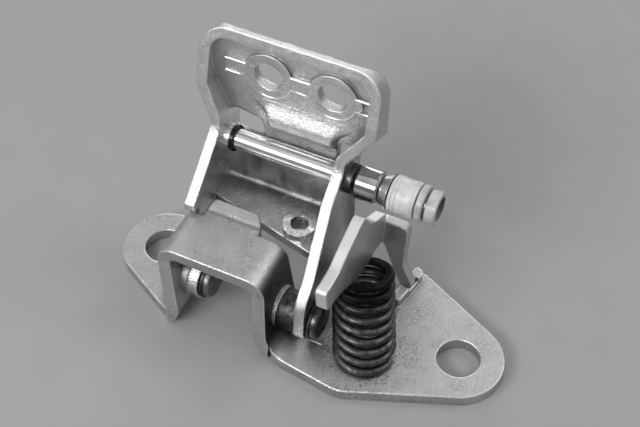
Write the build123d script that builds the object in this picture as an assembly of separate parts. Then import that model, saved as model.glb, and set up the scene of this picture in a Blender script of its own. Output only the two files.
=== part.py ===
from build123d import *
import os
from math import acos, atan2, cos, hypot, pi, radians, sin, tan

# Car door hinge with a sprung door check, in millimetres. The origin lies midway
# between the two pillar bolt holes on the mounting face, X runs along the hinge
# axis and Z points away from the pillar. The leaf stands in its fully open place.
# Most outlines are drawn "back" (Y) and "up" (Z) from the hinge axis.

# Pillar bracket, one stamping
base_sheet = 3.6
bolt_spacing = 91.0
bolt_hole = 12.0
foot_end_radius = 12.4
foot_front_radius = 9.8
hat_height = 26.7
hat_left = -38.0
hat_right = -5.0
hat_left_lean = 12.5
hat_right_lean = 7.0
hat_bend = 5.5
left_foot_bend = 1.8
right_foot_bend = 6.5
hat_front = -16.4
hat_rear = -1.6
wall_front_spread = 4.6
tongue_width = 16.6
tongue_rise = 3.0
lip_height = 6.5
lip_width = 2.6
lip_skew = 0.18
lip_lead = 5.4
lip_tail = 8.0
notch_offset = 3.2
notch_depth = 1.5
opening_taper = 6.2

# Hinge axis and its two riveted pivots
axis_y = -9.0
axis_z = 10.3
pivot_radius = 3.6
pivot_head_radius = 5.2
pivot_head = 2.0
pad_margin = 0.8
bush_wall = 1.0
washer = 0.8
spacer_radius = 5.6
running_gap = 0.05
side_gap = 0.35

# Door leaf, one stamping
leaf_sheet = 3.0
leaf_left = -35.4
leaf_right = 6.3
arm_end_radius = 6.3
knee_back = -5.4
knee_up = 9.5
neck_back = 22.8
neck_up = 33.6
joggle_angle = 63.0
arm_joggle = (10.5, 15.2)
tray_joggle = (43.2, 52.6)
tray_flare = 5.0
wall_draw = 2.0
wall_draw_span = (13.0, 32.0)
tray_lean = 16.7
tray_length = 31.0
tray_depth = 12.0
tray_top_depth = 5.0
tray_corner = 8.0
leaf_bend = 4.5
heel_step = 5.6
shelf_level = 14.0
shelf_front = 8.4
shelf_slant = 0.24
roof_gap = 1.0
nose_height = 2.2
nose_reach = 1.0
throat_gap = 1.2
door_hole = 8.6
door_hole_spacing = 18.6
door_hole_mid = -12.3
door_hole_rise = 20.2
boss_radius = 7.0
emboss = 0.8
bead_width = 4.2
bead_length = 40.0
nut_x = -5.3
nut_back = 16.0
nut_radius = 5.2
nut_height = 2.6
nut_bore = 5.0

# Roller pin across the leaf, with its roller and buffer sleeve
pin_up = 28.9
pin_web_gap = 0.04
pin_radius = 2.3
pin_head = 1.2
pin_head_radius = 3.4
collar_radius = 3.8
collar_length = 3.2
tube_radius = 2.9
roller_radius = 4.7
roller_length = 6.8
roller_washer = 2.0
roller_washer_radius = 4.2
taper_length = 2.4
taper_drop = 1.1
sleeve_radius = 5.1
sleeve_length = 7.4
end_washer = 2.0
ring_width = 0.7
ring_depth = 0.6
pin_tip = 1.8
cap_radius = 4.7
cap_recess = 3.4
cap_end = 1.2

# Check lever, a folded plate that rocks in the notch of the bracket
lever_sheet = 3.0
lever_left = 12.0
lever_front = -10.3
crest_back = 13.1
crest_up = 32.4
crest_run = 9.1
crest_rise = 2.7
saddle_drop = 5.1
saddle_length = 5.9
nose_length = 2.4
nose_rise = 1.0
nose_depth = 8.3
neck_run = 6.1
neck_drop = 13.7
belly_run = 3.2
belly_drop = 22.5
belly_length = 5.4
chin_run = 11.7
chin_drop = 16.1
throat_run = 4.0
throat_rise = 1.5
pocket_gap = 0.9
heel_depth = 9.9
heel_lean = 1.0
wing_lean = 10.2
wing_width = 7.0
wing_height = 20.4
wing_step = 7.0
wing_inner = 13.0
tail_width = 3.0
tail_height = 1.5

# Check spring, standing on the foot and leaning back under the lever
spring_x = 22.3
spring_y = -10.5
spring_radius = 7.6
spring_wire = 2.1
spring_turns = 7.25
spring_lean_x = -6.6
spring_lean_y = 13.1
spring_tilt = 0.36
spring_top = 20.8

HINGE = Plane(origin=(0, axis_y, axis_z), x_dir=(0, 1, 0), z_dir=(1, 0, 0))
hat_mid = (hat_left + hat_right) / 2
left_tan = tan(radians(hat_left_lean))
right_tan = tan(radians(hat_right_lean))
tray_tilt = radians(tray_lean)
waist_back = neck_back + tray_depth * cos(tray_tilt)
waist_up = neck_up - tray_depth * sin(tray_tilt)
web_run = heel_step / (waist_up - shelf_level + leaf_sheet)
pin_seat = leaf_sheet + collar_radius + pin_web_gap
pin_back = waist_back - (waist_up - pin_up) * web_run - pin_seat * hypot(1, web_run)
lever_right = lever_left + lever_sheet
lip_x = lever_right + wing_width - 0.5
notch_back = pin_back - notch_offset
lip_start = notch_back - lip_lead
lip_end = notch_back + lip_tail
far = 200.0


def bent_strip(points, radii, thickness, side):
    """A strip of constant thickness that follows a line with rounded bends."""
    line = FilletPolyline(*points, radius=radii)
    return make_face(offset(line, amount=thickness, side=side))


def rounded(*corners):
    """A closed outline through corners, each given as two places and a radius."""
    points = [(a, b) for a, b, radius in corners]
    return make_face(FilletPolyline(*points, radius=[radius for a, b, radius in corners], close=True))


def along_x(sketch, start, end):
    """Extrude a sketch drawn back and up from the hinge axis between two X stations."""
    return extrude(HINGE.offset(start) * sketch, amount=end - start)


def disc_x(radius, start, end, back=0.0, up=0.0):
    """A round piece whose axis runs along X, placed from the hinge axis."""
    return along_x(Pos(back, up) * Circle(radius), start, end)


def ring_x(radius, bore, start, end, back=0.0, up=0.0):
    """A round piece along X with a bore."""
    return along_x(Pos(back, up) * (Circle(radius) - Circle(bore)), start, end)


def plan(sketch, low, high):
    """Extrude a plan outline upwards between two levels."""
    return extrude(Pos(0, 0, low) * sketch, amount=high - low)


def hull(*circles):
    """Plan outline wrapped tightly round circles, each given as x, y and radius."""
    rims = [Pos(x, y) * Edge.make_circle(radius) for x, y, radius in circles]
    return make_hull(ShapeList(rims))


def left_wall_at(level):
    """X of the outer face of the leaning left wall at a level above the pillar."""
    return hat_left + (hat_height - level) * left_tan


def right_wall_at(level):
    """X of the outer face of the right wall at a level above the pillar."""
    return hat_right + (hat_height - level) * right_tan


# Stations along the hinge axis
left_pad = left_wall_at(axis_z) - pivot_head_radius * left_tan
pad_inner = left_wall_at(axis_z) + base_sheet + pivot_head_radius * left_tan
right_pad = right_wall_at(axis_z) + pivot_head_radius * right_tan
hat_inner = right_wall_at(axis_z) - base_sheet - pivot_head_radius * right_tan
arm_left = pad_inner + side_gap
arm_right = arm_left + leaf_sheet
wall_right = leaf_right - leaf_sheet
wall_left = leaf_left + leaf_sheet
roller_wall = leaf_right - wall_draw
roller_start = roller_wall + roller_washer + 2 * side_gap
taper_start = roller_start + roller_length + side_gap
sleeve_start = taper_start + taper_length + side_gap
washer_start = sleeve_start + sleeve_length + side_gap
ring_start = washer_start + end_washer
pin_end = ring_start + ring_width + pin_tip
tube_length = roller_wall - leaf_sheet - wall_left - collar_length
bush_radius = pivot_radius + running_gap + bush_wall
leaf_mid = (leaf_left + leaf_right) / 2
door_hole_places = (door_hole_mid - door_hole_spacing / 2, door_hole_mid + door_hole_spacing / 2)
swing_clear = hypot(pin_back, pin_up) - sleeve_radius - side_gap
wing_low = lip_height - notch_depth + side_gap + lever_sheet * sin(radians(wing_lean)) - axis_z


def left_foot():
    toe = left_wall_at(0)
    front = hat_front - wall_front_spread
    outline = hull((-bolt_spacing / 2, 0, foot_end_radius), (toe + 1.5, front + 5.0, 5.0),
                   (toe - 2, hat_rear - 1.6, 1.6))
    room = Pos(far / 2 + leaf_left - 2.0, far / 2 + hat_rear) * Rectangle(far, far)
    return outline - room


def right_foot():
    rear = lip_end + axis_y - 3.6
    toe = right_wall_at(base_sheet)
    return hull((bolt_spacing / 2, 0, foot_end_radius), (spring_x - 3.5, axis_y - 4.5, foot_front_radius),
                (toe + 3.0, hat_front - wall_front_spread + 3.6, 3.6), (lip_x + 4.6, rear, 3.6),
                (toe, hat_rear - 2, 1)) - swing_opening()


def swing_opening():
    """Plan of the opening that the leaf and its roller swing down through."""
    side = right_wall_at(base_sheet) + 0.9
    room = leaf_right + washer + pivot_head + 3 * side_gap
    front = axis_y - 2.6
    return make_face(Polyline((side, front), (room, front), (room, axis_y + lip_start - opening_taper),
                              (lip_x, axis_y + lip_start), (lip_x + lip_skew * (far - lip_start), axis_y + far),
                              (side, far), close=True))


def wall_trim():
    """Waste before and behind the hat, with the walls' front edges spreading downwards."""
    low = base_sheet + 0.05
    high = 2 * hat_height
    front = make_face(Polyline((hat_front, high), (hat_front, hat_height - hat_bend),
                               (hat_front - wall_front_spread, low), (-far, low), (-far, high), close=True))
    rear = make_face(Polyline((hat_rear, high), (hat_rear, low), (far, low), (far, high), close=True))
    return extrude(Plane.YZ.offset(-far) * (front + rear), amount=2 * far)


def stop_tongue():
    """The tongue bent up from the rear edge of the hat, which stops the leaf."""
    bend = hat_rear + 2.2
    line = [(hat_rear - 3, hat_height), (bend, hat_height), (bend + 0.8 * tongue_rise, hat_height + tongue_rise)]
    profile = bent_strip(line, 2.0, base_sheet, Side.RIGHT)
    middle = hat_mid - 0.6
    start = middle - tongue_width / 2
    tongue = extrude(Plane.YZ.offset(start) * profile, amount=tongue_width)
    shape = rounded((start, hat_rear - 9, 0.5), (start + tongue_width, hat_rear - 9, 0.5),
                    (start + tongue_width, hat_rear + 9, 3.5), (start, hat_rear + 9, 3.5))
    tip = Pos(0, bend + 0.8 * tongue_rise + 0.4 - hat_rear - 9) * shape
    return tongue & plan(tip, 0, 2 * hat_height)


def seat_lip():
    """Upturned edge of the right foot, with the notch that the lever's tail rocks in."""
    near = axis_y + lip_start
    end = axis_y + lip_end
    run = lip_skew * (lip_end - lip_start)
    strip = rounded((lip_x, near, 0.5), (lip_x + lip_width, near - 0.6, 1.0),
                    (lip_x + lip_width + run, end - 1.5, 1.0), (lip_x + run, end - 0.4, 0.8))
    middle = axis_y + notch_back + lever_sheet / 2 + 0.1
    groove = Pos(0, middle, lip_height) * Box(far, lever_sheet + 1.4, 2 * notch_depth)
    return plan(strip, 0, lip_height) - groove


def base_bracket():
    profile = bent_strip([(-far, base_sheet), (left_wall_at(base_sheet), base_sheet), (hat_left, hat_height),
                          (hat_right, hat_height), (right_wall_at(base_sheet), base_sheet), (far, base_sheet)],
                         [left_foot_bend, hat_bend, hat_bend, right_foot_bend], base_sheet, Side.RIGHT)
    sheet = extrude(Plane.XZ.offset(-far) * profile, amount=2 * far)
    toe = hat_front - wall_front_spread
    roof = make_face(Polyline((hat_left, hat_rear), (hat_left, hat_front), (left_wall_at(base_sheet), toe),
                              (right_wall_at(0), toe), (right_wall_at(0), hat_rear), close=True))
    outline = left_foot() + right_foot() + roof
    body = (sheet & plan(outline, -1, 2 * hat_height)) - wall_trim()
    body = body + stop_tongue() + seat_lip()
    body -= disc_x(spacer_radius + side_gap, right_pad, far)
    body += disc_x(pivot_head_radius + pad_margin, left_pad, pad_inner)
    body += disc_x(pivot_head_radius + pad_margin, hat_inner, right_pad)
    body -= disc_x(pivot_radius, -far, far)
    for x in (-bolt_spacing / 2, bolt_spacing / 2):
        body -= Pos(x, 0) * Cylinder(bolt_hole / 2, 4 * base_sheet)
    return body


def leaf_corners():
    """Corners of the leaf seen along the axis: tray top and back, waist and heel."""
    along = (sin(tray_tilt), cos(tray_tilt))
    through = (cos(tray_tilt), -sin(tray_tilt))
    top = (neck_back + tray_length * along[0], neck_up + tray_length * along[1])
    top_back = (top[0] + tray_top_depth * through[0], top[1] + tray_top_depth * through[1])
    heel = (waist_back - heel_step, shelf_level - leaf_sheet)
    return top, top_back, (waist_back, waist_up), heel


def touch_point(point, sign):
    """Where a line from a point touches the round end of a leaf wall."""
    turn = atan2(point[1], point[0]) + sign * acos(arm_end_radius / hypot(*point))
    return arm_end_radius * cos(turn), arm_end_radius * sin(turn)


def wall_outline(front):
    """A leaf wall seen along the axis, closed by the given front edge."""
    top, top_back, waist, heel = leaf_corners()
    low = touch_point(heel, -1)
    corners = [(neck_back, neck_up, 8.0), (*top, 1.0), (*top_back, leaf_bend), (*waist, 7.0),
               (*heel, leaf_bend), (*low, 0.2), (0, 0, 0.2)]
    return rounded(*front, *corners) + Circle(arm_end_radius)


def right_front():
    return [(-arm_end_radius, 0, 0.2), (knee_back, knee_up, 8.0)]


def left_front():
    """Front edge of the left wall, notched to clear the roof of the hat."""
    roof_rear = hat_rear - axis_y
    roof_top = hat_height - axis_z
    throat = (roof_rear + throat_gap, roof_top - base_sheet - throat_gap - 0.4)
    nose = roof_rear - nose_reach
    over = roof_top + roof_gap
    high = touch_point(throat, 1)
    return [(*high, 0.2), (*throat, 2.0), (throat[0], over, 0.9), (nose, over, 0.5), (nose, over + nose_height, 1.2)]


SLOPE = Plane(origin=(0, axis_y, axis_z), x_dir=(0, cos(radians(joggle_angle)), sin(radians(joggle_angle))),
              z_dir=(0, sin(radians(joggle_angle)), -cos(radians(joggle_angle))))


def left_line():
    """Outer face of the left wall, followed from the pivot towards the tray."""
    wide = leaf_left - tray_flare
    return [(-far, arm_left), (arm_joggle[0], arm_left), (arm_joggle[1], leaf_left),
            (tray_joggle[0], leaf_left), (tray_joggle[1], wide), (far, wide)]


def right_line():
    wide = leaf_right + tray_flare
    return [(-far, leaf_right), (wall_draw_span[0], leaf_right), (wall_draw_span[1], roller_wall),
            (tray_joggle[0], roller_wall), (tray_joggle[1], wide), (far, wide)]


def slope_prism(sketch):
    return extrude(SLOPE.offset(-far) * sketch, amount=2 * far)


def leaf_web():
    """The sheet behind the walls: shelf, web, tray back and top flange."""
    top, top_back, waist, heel = leaf_corners()
    profile = bent_strip([(shelf_front - 4, heel[1]), heel, waist, top_back, top],
                         [leaf_bend, 7.0, leaf_bend], leaf_sheet, Side.LEFT)
    web = along_x(profile, -far, far)
    left = FilletPolyline(*left_line()[2:], radius=leaf_bend)
    right = FilletPolyline(*right_line()[1:], radius=leaf_bend)
    corner = right_line()[1]
    between = make_face(Polyline((0, leaf_left), (arm_joggle[1], leaf_left)) + left + Line(left @ 1, right @ 1)
                        + right + Polyline(corner, (0, leaf_right), (0, leaf_left)))
    return web & slope_prism(between)


def tray_plane(depth):
    """Plane parallel to the tray, its X along the hinge axis and its Y up the tray."""
    start = Vector(0, axis_y + neck_back, axis_z + neck_up)
    inward = Vector(0, cos(tray_tilt), -sin(tray_tilt))
    return Plane(origin=start + inward * depth, x_dir=(1, 0, 0), z_dir=(0, -cos(tray_tilt), sin(tray_tilt)))


def tray_front():
    """Front view of the tray with its two rounded top corners."""
    left = leaf_left - tray_flare
    right = leaf_right + tray_flare
    return rounded((left, -far, 1), (right, -far, 1), (right, tray_length, tray_corner),
                   (left, tray_length, tray_corner))


def tray_rim():
    """The flange that turns round the two top corners of the tray."""
    outer = tray_front()
    inner = offset(outer, amount=-leaf_sheet)
    band = Pos(0, tray_length) * Rectangle(far, 2 * tray_corner + 1)
    rim = extrude(tray_plane(tray_depth) * ((outer - inner) & band), amount=tray_depth)
    return rim & along_x(wall_outline(right_front()), -far, far)


def back_plane():
    """Outer face of the tray's back, its X along the hinge axis and its Y up the tray."""
    top, top_back, waist, heel = leaf_corners()
    tilt = atan2(top_back[0] - waist[0], top_back[1] - waist[1])
    return Plane(origin=(0, axis_y + waist[0], axis_z + waist[1]), x_dir=(1, 0, 0),
                 z_dir=(0, -cos(tilt), sin(tilt)))


def embossing(shrink):
    """Bead across the tray with a round seat at each door bolt hole."""
    bead = Pos(leaf_mid, door_hole_rise) * SlotOverall(bead_length - 2 * shrink, bead_width - 2 * shrink)
    for x in door_hole_places:
        bead += Pos(x, door_hole_rise) * Circle(boss_radius - shrink)
    return bead


def windows():
    """The two openings in the web under the tray, one in each corner."""
    left = rounded((wall_left + 0.4, 27.0, 2.5), (wall_left + 10.4, 27.0, 2.5), (wall_left + 8.4, 34.5, 2.5),
                   (wall_left - 2.5, 36.0, 2.5))
    right = rounded((wall_right - 4.9, 25.5, 2.2), (wall_right - 0.2, 25.5, 1.5), (wall_right + 2.0, 36.0, 2.2),
                    (wall_right - 4.9, 35.5, 2.2))
    back = axis_y + neck_back + 3
    return extrude(Plane.XZ.offset(-back) * (Pos(0, axis_z) * (left + right)), amount=-far)


def shelf_waste():
    """What is cut off the shelf along its slanting front edge."""
    edge = axis_y + shelf_front
    run = shelf_slant * (leaf_right - leaf_left)
    return plan(make_face(Polyline((leaf_right, edge), (leaf_left, edge + run), (leaf_left, -far),
                                   (leaf_right, -far), close=True)), 0, axis_z + shelf_level + 1)


def door_leaf():
    left = slope_prism(bent_strip(left_line(), leaf_bend / 2, leaf_sheet, Side.LEFT))
    left = left & along_x(wall_outline(left_front()), -far, far)
    right = slope_prism(bent_strip(right_line(), leaf_bend / 2, leaf_sheet, Side.RIGHT))
    right = right & along_x(wall_outline(right_front()), -far, far)
    web = leaf_web() - shelf_waste() - windows()
    web += extrude(back_plane().offset(leaf_sheet) * embossing(0), amount=emboss)
    web -= extrude(back_plane() * embossing(0.8), amount=emboss)
    frame = extrude(tray_plane(-far) * tray_front(), amount=-2 * far)
    leaf = ((left + right + web) & frame) + tray_rim()
    for x in door_hole_places:
        leaf -= back_plane() * Pos(x, door_hole_rise) * Cylinder(door_hole / 2, 4 * leaf_sheet)
    leaf -= disc_x(bush_radius, -far, far)
    leaf -= disc_x(pin_radius, -far, far, pin_back, pin_up)
    leaf -= Pos(nut_x, axis_y + nut_back, axis_z + shelf_level) * Cylinder(nut_bore / 2 + 0.4, 4 * leaf_sheet)
    return leaf


def weld_nut():
    body = extrude(RegularPolygon(nut_radius, 6), amount=nut_height)
    body -= Cylinder(nut_bore / 2, 4 * nut_height)
    body = body & Cone(nut_radius + 0.6, nut_radius - 0.5, nut_height, align=(Align.CENTER, Align.CENTER, Align.MIN))
    return Pos(nut_x, axis_y + nut_back, axis_z + shelf_level) * body


def left_pivot_pin():
    start = arm_right + side_gap + washer
    pin = disc_x(pivot_head_radius, left_pad - pivot_head, left_pad) + disc_x(pivot_radius, left_pad, start)
    return soft_head(pin + disc_x(pivot_head_radius, start, start + pivot_head))


def right_pivot_pin():
    start = leaf_right + side_gap + washer
    pin = disc_x(pivot_head_radius, hat_inner - pivot_head, hat_inner) + disc_x(pivot_radius, hat_inner, start)
    return soft_head(pin + disc_x(pivot_head_radius, start, start + pivot_head))


def soft_head(pin):
    """Round over the outer rims of both rivet heads."""
    ends = pin.faces().sort_by(Axis.X)
    return fillet(ends[0].edges() + ends[-1].edges(), pivot_head / 2)


def roller_pin():
    start = leaf_left - pin_head
    pin = disc_x(pin_head_radius, start, leaf_left, pin_back, pin_up)
    pin += disc_x(pin_radius, leaf_left, pin_end, pin_back, pin_up)
    pin -= ring_x(2 * pin_radius, pin_radius - ring_depth, ring_start, ring_start + ring_width, pin_back, pin_up)
    return pin


def on_pin(radius, start, length, gap):
    return ring_x(radius, pin_radius + gap, start, start + length, pin_back, pin_up)


def outer_rims(piece):
    return piece.edges().filter_by(GeomType.CIRCLE).group_by(SortBy.RADIUS)[-1]


def check_roller():
    roller = on_pin(roller_radius, roller_start, roller_length, running_gap)
    return chamfer(outer_rims(roller), 0.6)


def taper_ring():
    upright = (Align.CENTER, Align.CENTER, Align.MIN)
    ring = Cone(sleeve_radius - taper_drop, sleeve_radius, taper_length, align=upright)
    ring -= Cylinder(pin_radius, 4 * taper_length)
    return HINGE.offset(taper_start) * Pos(pin_back, pin_up) * ring


def buffer_sleeve():
    sleeve = on_pin(sleeve_radius, sleeve_start, sleeve_length, running_gap)
    return fillet(outer_rims(sleeve), 0.5)


def pin_cap():
    """Push-on cap whose open end shows the end of the pin in a round recess."""
    start = ring_start + ring_width
    cap = disc_x(cap_radius, start, pin_end + cap_end, pin_back, pin_up)
    cap = fillet(outer_rims(cap), 0.4)
    cap -= disc_x(cap_recess, pin_end, pin_end + 2 * cap_end, pin_back, pin_up)
    return cap - disc_x(pin_radius, start, pin_end + cap_end, pin_back, pin_up)


def flange_ring():
    """Round-edged ring between the sleeve and the open spring ring."""
    return fillet(outer_rims(on_pin(sleeve_radius, washer_start, end_washer, 0)), 0.5)


def retaining_ring():
    """Open spring ring that sits in the groove near the end of the pin."""
    ring = Circle(pin_radius + 1.6) - Circle(pin_radius - ring_depth)
    ring -= Pos(0, -pin_radius) * Rectangle(2.4, 2 * pin_radius)
    return along_x(Pos(pin_back, pin_up) * ring, ring_start, ring_start + ring_width)


def lever_plate():
    """The lever seen along the axis, with its crest and the pocket behind it."""
    pocket = sleeve_radius + pocket_gap
    saddle = crest_up - saddle_drop
    belly = crest_up - belly_drop
    nose = lever_front + nose_length
    heel = (pin_back + 0.2 * pocket, pin_up - 1.82 * pocket)
    end = crest_back + belly_run + belly_length
    top_edge = [(lever_front, saddle + nose_rise, 1.2), (nose, saddle, 3.0), (nose + saddle_length, saddle, 8.0),
                (crest_back - crest_run, crest_up - crest_rise, 8.0), (crest_back, crest_up, 2.4)]
    back_edge = [(pin_back - 1.6 * pocket, pin_up - 0.52 * pocket, 3.5),
                 (pin_back - pocket, pin_up - 1.08 * pocket, 6.0),
                 (*heel, 0.8), (heel[0] - heel_lean, heel[1] - heel_depth, 0.8)]
    low_edge = [(end, belly - 0.4, 5.0), (end - belly_length, belly, 6.0),
                (crest_back - throat_run, belly + throat_rise, 6.0),
                (crest_back - chin_run, crest_up - chin_drop, 6.0),
                (lever_front + neck_run, crest_up - neck_drop, 4.0),
                (lever_front + 0.8, saddle + nose_rise - nose_depth, 1.5)]
    return rounded(*top_edge, *back_edge, *low_edge)


def check_lever():
    plate = along_x(lever_plate(), lever_left, lever_right)
    tilt = radians(wing_lean)
    foot = Vector(0, axis_y + notch_back, axis_z + wing_low)
    face = Plane(origin=foot, x_dir=(1, 0, 0), z_dir=(0, -cos(tilt), sin(tilt)))
    tip = lip_x + lip_skew * (notch_back - lip_start) + lip_width / 2
    wing = rounded((lever_left, wing_height, 0.8), (lever_right + wing_width, wing_height, 2.0),
                   (lever_right + wing_width, wing_step, 4.0), (tip + tail_width / 2, tail_height, 1.0),
                   (tip + tail_width / 2, 0, 0.4), (tip - tail_width / 2, 0, 0.4),
                   (tip - tail_width / 2 - 1.4, tail_height + 0.5, 2.0), (lever_right + 0.5, wing_inner, 3.0),
                   (lever_left, wing_inner + 1.0, 0.8))
    wing = extrude(face * wing, amount=-lever_sheet)
    return plate + (wing & disc_x(swing_clear, -far, far))


def spring_path():
    """Centre line of the wire, wound about an axis that bends backwards."""
    start = Vector(spring_x, spring_y, base_sheet + spring_wire / 2 + 0.15)
    lean = Vector(spring_lean_x, spring_lean_y, 0)
    rise = spring_top - start.Z
    points = []
    steps = 14
    for i in range(int(steps * spring_turns) + 1):
        t = i / (steps * spring_turns)
        turn = 2 * pi * i / steps
        centre = start + lean * t ** 1.6 + Vector(0, 0, rise * t)
        axis = (lean * (spring_tilt * t) + Vector(0, 0, rise)).normalized()
        across = Vector(1, 0, 0) - axis * axis.X
        across = across.normalized()
        points.append(centre + (across * cos(turn) + axis.cross(across) * sin(turn)) * spring_radius)
    return Spline(*points)


def check_spring():
    path = spring_path()
    return sweep(Plane(origin=path @ 0, z_dir=path % 0) * Circle(spring_wire / 2), path=path, is_frenet=True)


def main():
    os.makedirs("parts", exist_ok=True)
    parts = {
        "base_bracket": base_bracket(),
        "left_pivot_pin": left_pivot_pin(),
        "right_pivot_pin": right_pivot_pin(),
        "pivot_spacer": ring_x(spacer_radius, pivot_radius, right_pad, wall_right - side_gap),
        "door_leaf": door_leaf(),
        "left_pivot_bush": ring_x(bush_radius, pivot_radius + running_gap, arm_left, arm_right),
        "right_pivot_bush": ring_x(bush_radius, pivot_radius + running_gap, wall_right, leaf_right),
        "left_thrust_washer": ring_x(pivot_head_radius + 0.5, pivot_radius, arm_right + side_gap,
                                     arm_right + side_gap + washer),
        "right_thrust_washer": ring_x(pivot_head_radius + 0.5, pivot_radius, leaf_right + side_gap,
                                      leaf_right + side_gap + washer),
        "weld_nut": weld_nut(),
        "roller_pin": roller_pin(),
        "pin_collar": on_pin(collar_radius, wall_left, collar_length, 0),
        "pin_tube": on_pin(tube_radius, wall_left + collar_length, tube_length, 0),
        "roller_washer": on_pin(roller_washer_radius, roller_wall, roller_washer, 0),
        "check_roller": check_roller(),
        "taper_ring": taper_ring(),
        "buffer_sleeve": buffer_sleeve(),
        "end_washer": flange_ring(),
        "retaining_ring": retaining_ring(),
        "pin_cap": pin_cap(),
        "check_lever": check_lever(),
        "check_spring": check_spring(),
    }
    for name, part in parts.items():
        export_step(part, "parts/" + name + ".step")


main()
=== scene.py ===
import math
import bpy
from mathutils import Matrix, Vector


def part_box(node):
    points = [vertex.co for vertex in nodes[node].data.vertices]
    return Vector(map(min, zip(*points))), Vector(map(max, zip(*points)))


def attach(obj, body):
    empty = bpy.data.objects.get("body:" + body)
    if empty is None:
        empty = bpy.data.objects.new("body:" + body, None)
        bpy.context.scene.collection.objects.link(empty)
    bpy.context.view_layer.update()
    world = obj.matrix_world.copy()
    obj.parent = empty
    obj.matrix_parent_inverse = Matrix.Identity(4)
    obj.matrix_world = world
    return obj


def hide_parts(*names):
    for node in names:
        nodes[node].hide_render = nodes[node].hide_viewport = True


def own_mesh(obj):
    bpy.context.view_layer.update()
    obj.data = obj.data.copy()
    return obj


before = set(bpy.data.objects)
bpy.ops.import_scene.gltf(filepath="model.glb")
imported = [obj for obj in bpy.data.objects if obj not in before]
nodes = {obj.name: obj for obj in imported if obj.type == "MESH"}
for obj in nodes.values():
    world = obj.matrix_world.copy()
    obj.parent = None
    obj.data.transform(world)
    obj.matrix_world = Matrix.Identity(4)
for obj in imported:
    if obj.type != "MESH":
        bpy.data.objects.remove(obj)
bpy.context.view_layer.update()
MM = 0.001


# Pillar bracket: a 3.6 mm steel pressing with two feet, a hat over the hinge axis and an
# upturned lip. It is sheared, bent, zinc plated and tumbled, so its edges are broken and
# its flats stay satin and grainy. It bolts to the pillar through the two round holes.
def plug(tree, socket, value):
    """Link a socket to another node's output, or set the socket's own value."""
    if isinstance(value, bpy.types.NodeSocket):
        tree.links.new(value, socket)
    else:
        socket.default_value = value


def add(tree, kind, label, **inputs):
    """One node with its named inputs plugged; an underscore stands for a space."""
    node = tree.nodes.new(kind)
    node.label = label
    for name, value in inputs.items():
        plug(tree, node.inputs[name.replace("_", " ")], value)
    return node


def combine(tree, operation, first, second=0.0):
    """A sum, difference or the like of two values."""
    node = tree.nodes.new("ShaderNodeMath")
    node.operation = operation
    plug(tree, node.inputs[0], first)
    plug(tree, node.inputs[1], second)
    return node.outputs[0]


def product(tree, *factors):
    """All factors multiplied together."""
    result = factors[0]
    for factor in factors[1:]:
        result = combine(tree, "MULTIPLY", result, factor)
    return result


def vectors(tree, operation, first, second=None):
    """A sum, scale, product or length of vectors."""
    node = tree.nodes.new("ShaderNodeVectorMath")
    node.operation = operation
    plug(tree, node.inputs[0], first)
    if second is not None:
        plug(tree, node.inputs["Scale" if operation == "SCALE" else 1], second)
    gives_value = operation in ("DOT_PRODUCT", "DISTANCE", "LENGTH")
    return node.outputs["Value" if gives_value else "Vector"]


def ramp(tree, label, value, start, end, low=0.0, high=1.0):
    """A value that goes from low to high as another runs from start to end."""
    node = add(tree, "ShaderNodeMapRange", label, Value=value, From_Min=start, From_Max=end,
               To_Min=low, To_Max=high)
    return node.outputs[0]


def noise(tree, label, place, scale, detail, roughness=0.5):
    """Cloudy noise over a piece."""
    node = add(tree, "ShaderNodeTexNoise", label, Vector=place, Scale=scale, Detail=detail,
               Roughness=roughness)
    return node.outputs["Fac"]


def mixed(tree, factor, low, high):
    """A colour between two colours; each is a grey, a colour or a colour socket."""
    node = tree.nodes.new("ShaderNodeMix")
    node.data_type = "RGBA"
    tree.links.new(factor, node.inputs["Factor"])
    for socket, value in ((node.inputs["A"], low), (node.inputs["B"], high)):
        if isinstance(value, float):
            value = (value, value, value)
        plug(tree, socket, (*value, 1) if isinstance(value, tuple) else value)
    return node.outputs["Result"]


def own_place(tree):
    """Where a point lies on the part."""
    return tree.nodes.new("ShaderNodeTexCoord").outputs["Object"]


def along_axes(tree, label, vector):
    """A vector's X, Y and Z."""
    return add(tree, "ShaderNodeSeparateXYZ", label, Vector=vector).outputs


def facing_axes(tree):
    """How far a face looks along X, Y and Z."""
    return along_axes(tree, "facing", tree.nodes.new("ShaderNodeNewGeometry").outputs["Normal"])


def node_group(name, kind, given, made):
    """A node group with named inputs and outputs; gives its tree and its inputs."""
    tree = bpy.data.node_groups.new(name, kind)
    for direction, sockets in (("INPUT", given), ("OUTPUT", made)):
        for socket, value_kind in sockets.items():
            tree.interface.new_socket(socket, in_out=direction, socket_type="NodeSocket" + value_kind)
    return tree, tree.nodes.new("NodeGroupInput").outputs


def hand_out(tree, **results):
    """Link a group's named outputs."""
    out = tree.nodes.new("NodeGroupOutput")
    for name, socket in results.items():
        tree.links.new(socket, out.inputs[name])


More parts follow.
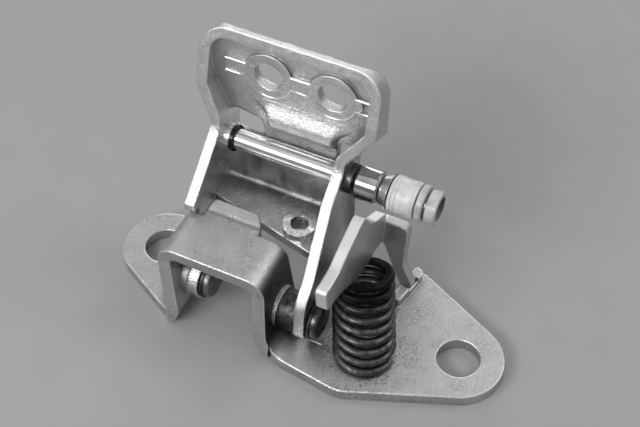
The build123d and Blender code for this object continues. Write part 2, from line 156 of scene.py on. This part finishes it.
def plated_grain():
    """Skin of barrel plated sheet: speckle, soft mottling, broken edges, and painted shade with grime in its
    own hollows.
    """
    hollow_reach, skin_height, least_hollow_shade = 9 * MM, 0.2 * MM, 0.45
    tree, given = node_group(
        "plated_grain", "ShaderNodeTree",
        {"Speckle scale": "Float", "Mottle scale": "Float", "Depth": "Float", "Edge": "Float"},
        {"Speckle": "Float", "Mottle": "Float", "Edge": "Float", "Grime": "Float", "Normal": "Vector"})
    place = own_place(tree)
    fine = noise(tree, "fine", place, given["Speckle scale"], 3.0, 0.7)
    broad = noise(tree, "broad", place, given["Mottle scale"], 5.0, 0.65)
    speckle = ramp(tree, "speckle", fine, 0.15, 0.85)
    mottle = ramp(tree, "mottle", broad, 0.3, 0.7)
    broken = add(tree, "ShaderNodeBevel", "broken edges", Radius=given["Edge"])
    broken.samples = 6
    flat = tree.nodes.new("ShaderNodeNewGeometry").outputs["Normal"]
    turned = vectors(tree, "DOT_PRODUCT", broken.outputs[0], flat)
    own_hollows = add(tree, "ShaderNodeAmbientOcclusion", "own hollows", Distance=hollow_reach)
    own_hollows.only_local = True
    own_hollows.samples = 8
    openness = own_hollows.outputs["AO"]
    edge = product(tree, ramp(tree, "edge", turned, 0.995, 0.86),
                   ramp(tree, "open edge", openness, 0.5, 0.8))
    # Painted shade: where the sheet's own ambient occlusion is low, in its creases and corners, this mask
    # darkens it, mixed with mottled grime.
    grime = product(tree, ramp(tree, "hollow", openness, 0.8, 0.35),
                    combine(tree, "ADD", least_hollow_shade, mottle))
    skin = add(tree, "ShaderNodeBump", "skin", Strength=given["Depth"], Distance=skin_height,
               Height=speckle, Normal=broken.outputs[0])
    hand_out(tree, Speckle=speckle, Mottle=mottle, Edge=edge, Grime=grime, Normal=skin.outputs[0])
    return tree


grain = plated_grain()


def new_material(name):
    """An empty material, its node tree and its shader."""
    material = bpy.data.materials.new(name)
    material.use_nodes = True
    return material, material.node_tree, material.node_tree.nodes["Principled BSDF"]


def sheet_steel(name, dark, light, edge, rough, depth, speckle, grime):
    """Plated sheet: grey between two tones, bright broken edges, and painted shade with grime in its own
    hollows.
    """
    mottle_scale, edge_radius, shade_and_grime_tone = 160.0, 0.8 * MM, 0.05
    speckle_gain, mottle_gain, mottle_middle = 1.2, 0.4, 0.75
    material, tree, shader = new_material(name)
    skin = tree.nodes.new("ShaderNodeGroup")
    skin.node_tree = grain
    for socket, value in (("Speckle scale", speckle), ("Mottle scale", mottle_scale),
                          ("Depth", depth), ("Edge", edge_radius)):
        skin.inputs[socket].default_value = value
    clouded = combine(tree, "SUBTRACT", skin.outputs["Mottle"], mottle_middle)
    share = combine(tree, "ADD", product(tree, skin.outputs["Speckle"], speckle_gain),
                    product(tree, clouded, mottle_gain))
    face = mixed(tree, share, dark, light)
    # Painted shade: the grime argument sets how far the face darkens in its own hollows, as shade and as
    # grime.
    soiled = mixed(tree, product(tree, skin.outputs["Grime"], grime), face, shade_and_grime_tone)
    plug(tree, shader.inputs["Base Color"], mixed(tree, skin.outputs["Edge"], soiled, edge))
    plug(tree, shader.inputs["Roughness"], ramp(tree, "gloss", skin.outputs["Mottle"], 0.0, 1.0, *rough))
    plug(tree, shader.inputs["Normal"], skin.outputs["Normal"])
    shader.inputs["Metallic"].default_value = 1.0
    return material


def wear(material, slot, *names):
    """Give whole CAD nodes one material. The slot is not used."""
    for name in names:
        mesh = nodes[name].data
        mesh.materials.clear()
        mesh.materials.append(material)


def over_base(material, tone, *masks):
    """Lay one more tone over a material's base colour where all masks are white."""
    tree = material.node_tree
    base = tree.nodes["Principled BSDF"].inputs["Base Color"]
    plug(tree, base, mixed(tree, product(tree, *masks), base.links[0].from_socket, tone))


spring_seat = Vector((22.3, -10.5, 3.6)) * MM
plated_bracket = sheet_steel("plated_bracket", dark=0.4, light=0.72, edge=0.95, rough=(0.24, 0.36),
                             depth=0.55, speckle=2300.0, grime=0.95)
sheet = plated_bracket.node_tree
sheet_place = own_place(sheet)
sheet_axes = along_axes(sheet, "place", sheet_place)

# Dirt lies about the spring's foot.
dirt_tone, dirt_scale = 0.04, 1300.0
from_seat = vectors(sheet, "DISTANCE", sheet_place, spring_seat)
over_base(plated_bracket, dirt_tone,
          ramp(sheet, "near the spring", from_seat, 16 * MM, 7.5 * MM),
          ramp(sheet, "specks", noise(sheet, "dirt", sheet_place, dirt_scale, 3.0, 0.7), 0.54, 0.66))

# The stop tongue behind the hat's roof is duller.
tongue_tone, tongue_start, tongue_blend = 0.2, -0.4 * MM, 0.8 * MM
over_base(plated_bracket, tongue_tone,
          ramp(sheet, "above the feet", sheet_axes["Z"], 22 * MM, 24 * MM),
          ramp(sheet, "behind the roof", sheet_axes["Y"], tongue_start, tongue_start + tongue_blend))

# Painted shade darkens the hat's right-facing wall, which lies in the shade of the leaf's arm and the lever.
wall_shade_tone = 0.08
over_base(plated_bracket, wall_shade_tone,
          ramp(sheet, "faces right", facing_axes(sheet)["X"], 0.4, 0.9),
          ramp(sheet, "right of the hat", sheet_axes["X"], -8 * MM, -4 * MM),
          ramp(sheet, "left of the lip", sheet_axes["X"], 20 * MM, 18 * MM))
wear(plated_bracket, "plated_sheet", "base_bracket")


# Pivots: two shouldered rivets of plain steel headed over in the hat's walls, a turned
# spacer and hardened washers beside the leaf, and thin bronze bushes pressed in the leaf.
def turned_metal(name, dark, light, rough, scale=900.0, stretch=(1.0, 1.0, 1.0), bump=0.1,
                 edge=0.3 * MM):
    """Turned or drawn steel: tone and gloss vary along the tool marks, rims are broken."""
    mark_height = 0.05 * MM
    material, tree, shader = new_material(name)
    drawn = add(tree, "ShaderNodeMapping", "tool marks", Vector=own_place(tree), Scale=stretch)
    marks = ramp(tree, "spread", noise(tree, "marks", drawn.outputs[0], scale, 4.0), 0.3, 0.7)
    rims = add(tree, "ShaderNodeBevel", "broken rims", Radius=edge)
    skin = add(tree, "ShaderNodeBump", "marks", Strength=bump, Distance=mark_height, Height=marks,
               Normal=rims.outputs[0])
    plug(tree, shader.inputs["Base Color"], mixed(tree, marks, dark, light))
    plug(tree, shader.inputs["Roughness"], ramp(tree, "gloss", marks, 0.0, 1.0, rough[1], rough[0]))
    plug(tree, shader.inputs["Normal"], skin.outputs[0])
    shader.inputs["Metallic"].default_value = 1.0
    return material


# The right rivet, the spacer and the washers take darker copies of this steel: painted shade for the dark
# recess beside the hat's right wall.
for name, dark, light, rough, pieces in (
        ("pivot_steel", 0.12, 0.3, (0.38, 0.55), ["left_pivot_pin"]),
        ("shaded_pivot_steel", 0.04, 0.14, (0.32, 0.5), ["right_pivot_pin"]),
        ("shaded_spacer_steel", 0.03, 0.1, (0.4, 0.55),
         ["pivot_spacer", "left_thrust_washer", "right_thrust_washer"])):
    wear(turned_metal(name, dark, light, rough, scale=700.0), "pivot_steel", *pieces)
bush_bronze = turned_metal("bush_bronze", dark=(0.34, 0.3, 0.22), light=(0.5, 0.44, 0.32), rough=(0.35, 0.5))
wear(bush_bronze, "bronze", "left_pivot_bush", "right_pivot_bush")


# Door leaf: a 3 mm pressing, two arms joined by a web that opens into a flanged tray with
# two seated bolt holes. Drawn deeper than the bracket, so its plating is brighter and
# grainier. It turns on the two bushes.
plated_leaf = sheet_steel("plated_leaf", dark=0.42, light=0.88, edge=0.97, rough=(0.17, 0.3),
                          depth=0.68, speckle=2100.0, grime=0.5)
leaf_sheet = plated_leaf.node_tree
leaf_place = own_place(leaf_sheet)
leaf_axes = along_axes(leaf_sheet, "place", leaf_place)
leaf_facing = facing_axes(leaf_sheet)

# Painted shade, in cloudy patches, darkens the inside of the channel below the pin, where the pin shades the
# web.
channel_shade_tone, channel_shade_scale = 0.07, 140.0
shade_cloud = noise(leaf_sheet, "shade_cloud", leaf_place, channel_shade_scale, 4.0)
over_base(plated_leaf, channel_shade_tone,
          ramp(leaf_sheet, "patchy_shade", shade_cloud, 0.2, 0.6, 0.35, 0.95),
          ramp(leaf_sheet, "off the left wall", leaf_axes["X"], -31.5 * MM, -28 * MM),
          ramp(leaf_sheet, "off the back", leaf_facing["Y"], 0.6, 0.3),
          ramp(leaf_sheet, "below the pin", leaf_axes["Z"], 41 * MM, 37 * MM),
          ramp(leaf_sheet, "inside the channel", leaf_axes["Y"], 12 * MM, 17 * MM))

# Painted light: the left wall's inner face, which faces right, is lightened as a painted reflection of the
# lit wall across from it.
painted_light_tone = 0.96
over_base(plated_leaf, painted_light_tone,
          ramp(leaf_sheet, "lit wall", leaf_facing["X"], 0.4, 0.8),
          ramp(leaf_sheet, "on the left", leaf_axes["X"], -26 * MM, -28 * MM))
wear(plated_leaf, "plated_sheet", "door_leaf")


# Coined ridge: the tray's bead and bolt seats are coined in the press, which leaves a fine
# ridge of the leaf's own steel along the bead's edges and under the seats; it is glossier, and its tone is
# painted lighter as a painted highlight.
def close_rule(tree, given, mesh):
    """End a Geometry Nodes rule: real geometry in its material."""
    real = add(tree, "GeometryNodeRealizeInstances", "real", Geometry=mesh)
    dressed = add(tree, "GeometryNodeSetMaterial", "material", Geometry=real.outputs[0],
                  Material=given["Material"])
    hand_out(tree, Geometry=dressed.outputs[0])


def ridge_rule():
    """Geometry Nodes: a round ridge along each line of a path."""
    tree, given = node_group("ridge", "GeometryNodeTree",
                             {"Path": "Geometry", "Ridge": "Float", "Material": "Material"},
                             {"Geometry": "Geometry"})
    line = add(tree, "GeometryNodeMeshToCurve", "line", Mesh=given["Path"])
    section = add(tree, "GeometryNodeCurvePrimitiveCircle", "section", Resolution=12, Radius=given["Ridge"])
    bar = add(tree, "GeometryNodeCurveToMesh", "bar", Curve=line.outputs[0],
              Profile_Curve=section.outputs[0], Fill_Caps=True)
    close_rule(tree, given, bar.outputs[0])
    return tree


def put_in(name, data):
    """A new object in the scene."""
    thing = bpy.data.objects.new(name, data)
    bpy.context.scene.collection.objects.link(thing)
    return thing


def made_by(rule, name, path=((), ()), **sizes):
    """A plain mesh piece made by a Geometry Nodes rule from its sizes, along a path if it has one."""
    maker_mesh = bpy.data.meshes.new(name + "_maker")
    maker_mesh.from_pydata(*path, [])
    maker = put_in(name + "_maker", maker_mesh)
    modifier = maker.modifiers.new("rule", "NODES")
    modifier.node_group = rule
    for item in rule.interface.items_tree:
        if item.in_out == "INPUT" and item.socket_type != "NodeSocketGeometry":
            modifier[item.identifier] = sizes[item.name]
    depsgraph = bpy.context.evaluated_depsgraph_get()
    mesh = bpy.data.meshes.new_from_object(maker.evaluated_get(depsgraph))
    bpy.data.objects.remove(maker)
    mesh.shade_smooth()
    return put_in(name, mesh)


seat_middles, seat_height, seat_radius = (-21.6 * MM, -3.0 * MM), 60.8 * MM, 6.85 * MM
bead_half, bead_left, bead_right = 2.1 * MM, -34.2 * MM, 7.4 * MM
ridge_front, ridge_lean, ridge_radius = 22.95 * MM, 0.05, 0.36 * MM
bead_meets = math.asin(bead_half / seat_radius)
seat_reach = seat_radius * math.cos(bead_meets)
arc_steps = 18
lower_line = [(bead_left, -bead_half)]
upper_lines, upper_start = [], bead_left
for middle in seat_middles:
    for i in range(arc_steps + 1):
        turn = math.pi + bead_meets + (math.pi - 2 * bead_meets) * i / arc_steps
        lower_line.append((middle + seat_radius * math.cos(turn), seat_radius * math.sin(turn)))
    upper_lines.append([(upper_start, bead_half), (middle - seat_reach, bead_half)])
    upper_start = middle + seat_reach
lower_line.append((bead_right, -bead_half))
upper_lines.append([(upper_start, bead_half), (bead_right, bead_half)])
ridge_points, ridge_edges = [], []
for line in [lower_line] + upper_lines:
    first = len(ridge_points)
    ridge_edges += [(first + i, first + i + 1) for i in range(len(line) - 1)]
    ridge_points += [(x, ridge_front + ridge_lean * rise, seat_height + rise) for x, rise in line]
coined_highlight = turned_metal("coined_highlight", dark=0.8, light=0.97, rough=(0.12, 0.25), scale=1500.0,
                             edge=0.05 * MM)
coined_ridge = made_by(ridge_rule(), "coined_ridge", (ridge_points, ridge_edges), Ridge=ridge_radius,
                       Material=coined_highlight)
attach(coined_ridge, "leaf")


# Waist swage: between its two windows the leaf's sheet swells forward above the pin, square
# at the windows' edges and fading out above them. It is one with the leaf, so it has the
# same plating.
swage_left, swage_right = -22.4 * MM, -1.2 * MM
swage_top, swage_foot = 52.5 * MM, 43.0 * MM
swage_depth, swage_end, swage_ease = 2.3 * MM, 1.6 * MM, 6.0 * MM
window_top, swage_spread = 45.5 * MM, 5.0 * MM
swage_crest = 0.62
sheet_front, sheet_lean, lean_from = 22.5 * MM, 0.07, 44 * MM
front_sunk, back_sunk = 0.05 * MM, 0.6 * MM
across_steps, down_steps = 36, 20


def eased(share):
    """Smooth rise from 0 to 1."""
    share = min(max(share, 0.0), 1.0)
    return share * share * (3 - 2 * share)


front, back = [], []
for i in range(across_steps + 1):
    for j in range(down_steps + 1):
        down = j / down_steps
        z = swage_top + (swage_foot - swage_top) * down
        above = eased((z - window_top) / (swage_top - window_top))
        left_end, right_end = swage_left - swage_spread * above, swage_right + swage_spread * above
        x = left_end + (right_end - left_end) * i / across_steps
        ease = swage_end + (swage_ease - swage_end) * above
        fade = eased((x - left_end) / ease) * eased((right_end - x) / ease)
        if down < swage_crest:
            swell = eased(down / swage_crest)
        else:
            swell = math.sqrt(max(0.0, 1 - ((down - swage_crest) / (1 - swage_crest)) ** 2))
        y = sheet_front + sheet_lean * (z - lean_from)
        front.append((x, y + front_sunk - swage_depth * fade * swell, z))
        back.append((x, y + back_sunk, z))
stride, count = down_steps + 1, len(front)
faces = []
for i in range(across_steps):
    for j in range(down_steps):
        a = i * stride + j
        faces.append((a, a + 1, a + stride + 1, a + stride))
        faces.append((count + a, count + a + stride, count + a + stride + 1, count + a + 1))
rim = ([i * stride for i in range(across_steps)]
       + [across_steps * stride + j for j in range(down_steps)]
       + [i * stride + down_steps for i in range(across_steps, 0, -1)]
       + list(range(down_steps, 0, -1)))
for a, b in zip(rim, rim[1:] + rim[:1]):
    faces.append((a, b, count + b, count + a))
swage_mesh = bpy.data.meshes.new("waist_swage")
swage_mesh.from_pydata(front + back, [], faces)
swage_mesh.shade_smooth()
swage_mesh.materials.append(plated_leaf)
waist_swage = put_in("waist_swage", swage_mesh)
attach(waist_swage, "leaf")


# Weld nut: a six-sided steel nut, projection welded on the shelf. A wound crest stands for
# its cut thread, made by the rule that also winds the spring.
def winding_rule():
    """Geometry Nodes: a wire of oval section wound about an upright axis that may lean and bow."""
    tree, given = node_group(
        "winding", "GeometryNodeTree",
        {"Start": "Vector", "Radius": "Float", "Rise": "Float", "Turns": "Float", "Across": "Float",
         "Along": "Float", "Lean": "Vector", "Bow": "Float", "Tilt": "Float", "Material": "Material"},
        {"Geometry": "Geometry"})
    coil = add(tree, "GeometryNodeCurveSpiral", "coil", Resolution=44, Rotations=given["Turns"],
               Start_Radius=given["Radius"], End_Radius=given["Radius"], Height=given["Rise"])
    share = tree.nodes.new("GeometryNodeSplineParameter").outputs["Factor"]
    here = tree.nodes.new("GeometryNodeInputPosition").outputs[0]
    leaning = vectors(tree, "SCALE", given["Lean"], combine(tree, "POWER", share, given["Bow"]))
    towards = vectors(tree, "DOT_PRODUCT", here, given["Lean"])
    drop = product(tree, share, given["Tilt"], combine(tree, "DIVIDE", towards, given["Rise"]))
    dip = add(tree, "ShaderNodeCombineXYZ", "dip", Z=product(tree, drop, -1.0))
    shift = vectors(tree, "ADD", vectors(tree, "ADD", leaning, dip.outputs[0]), given["Start"])
    path = add(tree, "GeometryNodeSetPosition", "path", Geometry=coil.outputs[0], Offset=shift)
    upright = add(tree, "GeometryNodeSetCurveNormal", "upright", Curve=path.outputs[0])
    upright.mode = "Z_UP"
    round_wire = add(tree, "GeometryNodeCurvePrimitiveCircle", "round wire", Resolution=14, Radius=1.0)
    size = add(tree, "ShaderNodeCombineXYZ", "wire size", X=given["Across"], Y=given["Along"], Z=1.0)
    oval = add(tree, "GeometryNodeTransform", "oval wire", Geometry=round_wire.outputs[0],
               Scale=size.outputs[0])
    wire = add(tree, "GeometryNodeCurveToMesh", "wire", Curve=upright.outputs[0],
               Profile_Curve=oval.outputs[0], Fill_Caps=True)
    close_rule(tree, given, wire.outputs[0])
    return tree


winding = winding_rule()
nut_steel = turned_metal("nut_steel", dark=0.45, light=0.85, rough=(0.2, 0.38), scale=800.0)
wear(nut_steel, "plated_sheet", "weld_nut")
nut_low, nut_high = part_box("weld_nut")
nut_middle = (nut_low + nut_high) / 2
thread_radius, thread_pitch = 2.42 * MM, 0.8 * MM
below_face, above_face = 0.2 * MM, 0.3 * MM
thread_start = Vector((nut_middle.x, nut_middle.y, nut_low.z + above_face))
thread_rise = nut_high.z - below_face - thread_start.z
# The thread crest is painted dark: painted shade for the inside of the nut's bore.
shaded_thread = turned_metal("shaded_thread", dark=0.05, light=0.3, rough=(0.25, 0.4), scale=900.0)
nut_thread = made_by(winding, "nut_thread_crest", Start=thread_start, Radius=thread_radius,
                     Rise=thread_rise, Turns=thread_rise / thread_pitch, Across=0.32 * MM,
                     Along=0.26 * MM, Lean=Vector((0, 0, 0)), Bow=1.0, Tilt=0.0, Material=shaded_thread)
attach(nut_thread, "leaf")


# Roller pin: a drawn steel rod through both walls, riveted left, in a bright tube with a
# satin collar between the walls and a dark washer outside. A dark band at the collar's end is painted shade
# for the gap beside it.
pin_bright = turned_metal("pin_bright", dark=0.45, light=0.9, rough=(0.1, 0.28), scale=300.0,
                          stretch=(0.15, 3.0, 3.0))
wear(pin_bright, "polished_steel", "pin_tube")
pin_end_steel = turned_metal("pin_end_steel", dark=0.06, light=0.25, rough=(0.3, 0.45), scale=600.0)
wear(pin_end_steel, "polished_steel", "roller_pin")
collar_steel = turned_metal("collar_steel", dark=0.4, light=0.75, rough=(0.22, 0.4), scale=600.0)
collar_tree = collar_steel.node_tree
collar_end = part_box("pin_collar")[1].x
gap_shade_tone, gap_shade_start, gap_shade_full = 0.03, collar_end - 1.3 * MM, collar_end - 1.0 * MM
collar_axes = along_axes(collar_tree, "place", own_place(collar_tree))
over_base(collar_steel, gap_shade_tone,
          ramp(collar_tree, "shaded end", collar_axes["X"], gap_shade_start, gap_shade_full))
wear(collar_steel, "polished_steel", "pin_collar")
washer_dark = turned_metal("washer_dark", dark=0.06, light=0.18, rough=(0.3, 0.5), scale=600.0)
wear(washer_dark, "dark_steel", "roller_washer")


# Check roller: a hardened, ground steel roller outside the right wall, which runs over the
# lever as the door swings, and the satin cone ring beside it.
roller_ground = turned_metal("roller_ground", dark=0.34, light=0.62, rough=(0.07, 0.16), scale=260.0,
                             stretch=(0.6, 1.0, 1.0), bump=0.04)
wear(roller_ground, "polished_steel", "check_roller")
cone_satin = turned_metal("cone_satin", dark=0.4, light=0.75, rough=(0.2, 0.4), scale=1500.0, bump=0.4)
wear(cone_satin, "polished_steel", "taper_ring")


# Buffer sleeve: moulded nylon running on the pin's end, with small beads at its ends. It is
# held by a flange ring, an open spring ring and a push-on cap of the same nylon, all soiled.
def moulded(name, clean, soiled, rough, recess_grime_and_shade=0.0):
    """Nylon with a little grime; inside a given radius about the pin it is darkened with grime and painted
    shade, as in the cap's recess.
    """
    grime_scale, recess_grime_and_shade_tone, soft_rim = 420.0, 0.03, 0.3 * MM
    material, tree, shader = new_material(name)
    place = own_place(tree)
    cloud = noise(tree, "grime", place, grime_scale, 5.0)
    tone = mixed(tree, ramp(tree, "spread", cloud, 0.35, 0.7), clean, soiled)
    if recess_grime_and_shade:
        low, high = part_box("roller_pin")
        from_pin = vectors(tree, "SUBTRACT", place, (low + high) / 2)
        across = add(tree, "ShaderNodeMapping", "across the pin", Vector=from_pin, Scale=(0.0, 1.0, 1.0))
        radius = vectors(tree, "LENGTH", across.outputs[0])
        tone = mixed(tree, ramp(tree, "core", radius, recess_grime_and_shade, recess_grime_and_shade * 0.95), tone, recess_grime_and_shade_tone)
    rims = add(tree, "ShaderNodeBevel", "soft rims", Radius=soft_rim)
    plug(tree, shader.inputs["Normal"], rims.outputs[0])
    plug(tree, shader.inputs["Base Color"], tone)
    shader.inputs["Roughness"].default_value = rough
    return material


def ring_rule():
    """Geometry Nodes: a row of round beads about an axis along x."""
    tree, given = node_group(
        "bead_row", "GeometryNodeTree",
        {"First": "Vector", "Step": "Vector", "Count": "Int", "Radius": "Float", "Bead": "Float",
         "Material": "Material"},
        {"Geometry": "Geometry"})
    places = add(tree, "GeometryNodeMeshLine", "places", Count=given["Count"],
                 Start_Location=given["First"], Offset=given["Step"])
    ring = add(tree, "GeometryNodeCurvePrimitiveCircle", "ring", Resolution=64, Radius=given["Radius"])
    bead = add(tree, "GeometryNodeCurvePrimitiveCircle", "bead", Resolution=10, Radius=given["Bead"])
    hoop = add(tree, "GeometryNodeCurveToMesh", "hoop", Curve=ring.outputs[0], Profile_Curve=bead.outputs[0])
    row = add(tree, "GeometryNodeInstanceOnPoints", "row", Points=places.outputs[0],
              Instance=hoop.outputs[0], Rotation=(0.0, math.pi / 2, 0.0))
    close_rule(tree, given, row.outputs[0])
    return tree


white_nylon = moulded("white_nylon", clean=0.72, soiled=0.54, rough=0.36)
wear(white_nylon, "white_nylon", "buffer_sleeve")
sleeve_low, sleeve_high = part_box("buffer_sleeve")
sleeve_middle = (sleeve_low + sleeve_high) / 2
sleeve_radius = (sleeve_high.z - sleeve_low.z) / 2
bead_radius, bead_sunk, bead_step = 0.3 * MM, 0.12 * MM, 1.1 * MM
inner_start, outer_start = sleeve_low.x + 0.9 * MM, sleeve_high.x - 1.0 * MM
bead_row = ring_rule()
for end, start, rings in (("inner", inner_start, 2), ("outer", outer_start, 1)):
    beads = made_by(bead_row, "sleeve_beads_" + end,
                    First=Vector((start, sleeve_middle.y, sleeve_middle.z)),
                    Step=Vector((bead_step, 0, 0)), Count=rings, Radius=sleeve_radius - bead_sunk,
                    Bead=bead_radius, Material=white_nylon)
    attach(beads, "sleeve")
flange_nylon = moulded("flange_nylon", clean=0.55, soiled=0.36, rough=0.3)
wear(flange_nylon, "white_nylon", "end_washer")
cap_nylon = moulded("cap_nylon", clean=0.55, soiled=0.36, rough=0.34, recess_grime_and_shade=3.5 * MM)
wear(cap_nylon, "white_nylon", "pin_cap")
ring_steel = turned_metal("ring_steel", dark=0.1, light=0.3, rough=(0.25, 0.45), scale=800.0)
wear(ring_steel, "dark_steel", "retaining_ring")


# Check lever: a 3 mm fine-blanked plate with a folded wing whose tail rocks in the lip's
# notch. The plate's blanked edge is pale, the wing's front lightened with painted light, the other faces
# duller.
edge_tone, wing_light_tone = 0.88, 0.9
wing_start, plate_end = 15.0 * MM, 14.9 * MM
lever_steel = sheet_steel("lever_steel", dark=0.42, light=0.62, edge=0.75, rough=(0.36, 0.5),
                          depth=0.22, speckle=2200.0, grime=0.1)
lever_tree = lever_steel.node_tree
lever_facing = facing_axes(lever_tree)
lever_axes = along_axes(lever_tree, "place", own_place(lever_tree))
sideways = combine(lever_tree, "ABSOLUTE", lever_facing["X"])
on_plate = ramp(lever_tree, "plate", lever_axes["X"], wing_start, plate_end)
over_base(lever_steel, edge_tone, ramp(lever_tree, "blanked edge", sideways, 0.6, 0.3), on_plate)
over_base(lever_steel, wing_light_tone, ramp(lever_tree, "wing face", lever_facing["Y"], -0.6, -0.9),
          combine(lever_tree, "SUBTRACT", 1.0, on_plate))
wear(lever_steel, "lever_steel", "check_lever")


# Check spring: oil-tempered wire of oval section wound into a close coil that leans back
# under the lever, its top darkened with painted shade where the lever shades it. It stands
# on the foot and shortens as the lever rocks.
spring_steel = turned_metal("spring_steel", dark=0.04, light=0.15, rough=(0.34, 0.5), scale=700.0,
                            edge=0.1 * MM)
spring_tree = spring_steel.node_tree
spring_axes = along_axes(spring_tree, "place", own_place(spring_tree))
top_shade_tone = 0.012
over_base(spring_steel, top_shade_tone, ramp(spring_tree, "shaded top", spring_axes["Z"], 16 * MM, 21 * MM))
coil_foot = spring_seat + Vector((-0.6, 1.4, 0.95)) * MM
spring_lean = Vector((-6.6, 13.1, 0)) * MM
check_coil = made_by(winding, "check_coil", Start=coil_foot, Radius=7.3 * MM, Rise=16.0 * MM,
                     Turns=8.25, Across=1.35 * MM, Along=0.96 * MM, Lean=spring_lean, Bow=1.12,
                     Tilt=0.36, Material=spring_steel)
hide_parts("check_spring")
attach(check_coil, "bracket")
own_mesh(check_coil)


# Studio: a pale paper floor, a soft key from the front left, a fill over the right shoulder,
# a low light behind, and a grey surround that is lighter above, at the front left and at the
# right. The camera stands where the photograph was taken.
floor_half, floor_height = 3.0, -0.2 * MM
paper_scale, paper_dark, paper_light = 60.0, 0.32, 0.35
floor_mesh = bpy.data.meshes.new("floor")
floor_corners = ((-1, -1), (1, -1), (1, 1), (-1, 1))
floor_mesh.from_pydata([(floor_half * x, floor_half * y, floor_height) for x, y in floor_corners], [],
                       [(0, 1, 2, 3)])
floor = put_in("floor", floor_mesh)
floor_material, paper, paper_shader = new_material("pale_floor")
paper_cloud = noise(paper, "paper", own_place(paper), paper_scale, 4.0)
plug(paper, paper_shader.inputs["Base Color"], mixed(paper, paper_cloud, paper_dark, paper_light))
paper_shader.inputs["Roughness"].default_value = 0.7
floor_mesh.materials.append(floor_material)

target = Vector((-4.35, 17.74, 20.0)) * MM
for name, place, size, power in (
        ("key", (-0.25, -0.575, 0.49), (0.5, 0.22), 3.6),
        ("shoulder", (0.5, 0.45, 0.7), (0.3, 0.25), 1.4),
        ("rim", (-0.25, 0.85, 0.22), (0.8, 0.25), 1.6)):
    lamp = bpy.data.lights.new(name, "AREA")
    lamp.shape = "RECTANGLE"
    lamp.size, lamp.size_y = size
    lamp.energy = power
    softbox = put_in(name, lamp)
    softbox.location = place
    softbox.rotation_euler = (target - Vector(place)).to_track_quat("-Z", "Y").to_euler()

world = bpy.data.worlds.new("surround")
world.use_nodes = True
sky = world.node_tree
heading = sky.nodes.new("ShaderNodeTexCoord").outputs["Generated"]
even_grey = 0.12
level = even_grey
for label, way, start, most in (
        ("above", (-0.35, 0.3, 0.89), 0.0, 0.5),
        ("front left", (-0.7, -0.5, 0.5), 0.3, 0.2),
        ("right", (0.9, 0.1, 0.35), 0.3, 0.3)):
    towards = vectors(sky, "DOT_PRODUCT", heading, Vector(way).normalized())
    level = combine(sky, "ADD", level, ramp(sky, label, towards, start, 1.0, 0.0, most))
plug(sky, sky.nodes["Background"].inputs["Color"], level)
bpy.context.scene.world = world

azimuth, elevation, roll = math.radians(25.86), math.radians(49.75), math.radians(-0.38)
camera_distance, sensor_width, focal_share = 0.35111, 36.0, 1257.21 / 640
away = Vector((math.sin(azimuth) * math.cos(elevation), -math.cos(azimuth) * math.cos(elevation),
               math.sin(elevation)))
level_right = Vector((math.cos(azimuth), math.sin(azimuth), 0))
level_up = away.cross(level_right)
right = level_right * math.cos(roll) + level_up * math.sin(roll)
up = level_up * math.cos(roll) - level_right * math.sin(roll)
lens = bpy.data.cameras.new("photo_view")
lens.sensor_width = sensor_width
lens.lens = sensor_width * focal_share
lens.clip_start = 0.01
camera = put_in("photo_view", lens)
stand = Matrix((right, up, away)).transposed().to_4x4()
stand.translation = target + away * camera_distance
camera.matrix_world = stand
bpy.context.scene.camera = camera
bpy.context.scene.view_settings.view_transform = "Standard"
